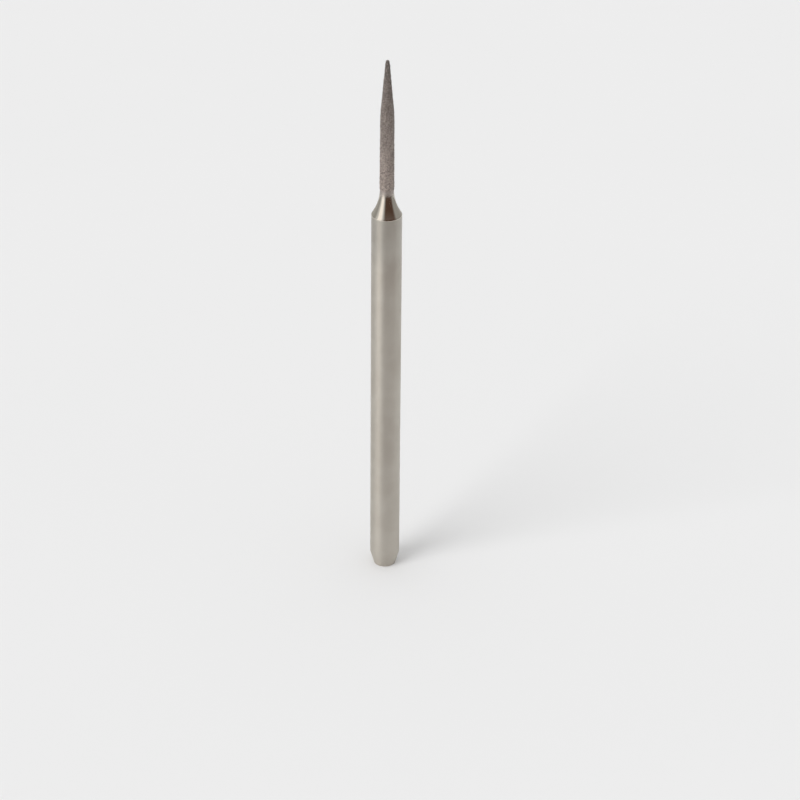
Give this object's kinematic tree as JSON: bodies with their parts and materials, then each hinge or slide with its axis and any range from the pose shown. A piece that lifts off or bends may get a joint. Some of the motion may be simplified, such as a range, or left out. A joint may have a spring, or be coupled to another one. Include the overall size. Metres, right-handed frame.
{
  "type": "dental bur",
  "caption": "Flame-shaped dental bur: a plain cylindrical steel shank, a hollow flare and neck, and a slim head coated with fine diamond grit.",
  "frame": {"origin": "centre of the flat rear end face of the shank", "axes": "+Z along the bur's axis from the rear end to the tip; the bur is round, so +X and +Y are free"},
  "size_m": [0.0024, 0.0024, 0.0445],
  "materials": {
    "ground_steel": "fine ground satin on the shank, bright turned surface on the flare and neck",
    "plated_grit": "matt and gritty, small glints"
  },
  "bodies": {
    "root": {"steel_blank": "ground_steel", "diamond_coat": "plated_grit"}
  },
  "joints": []
}
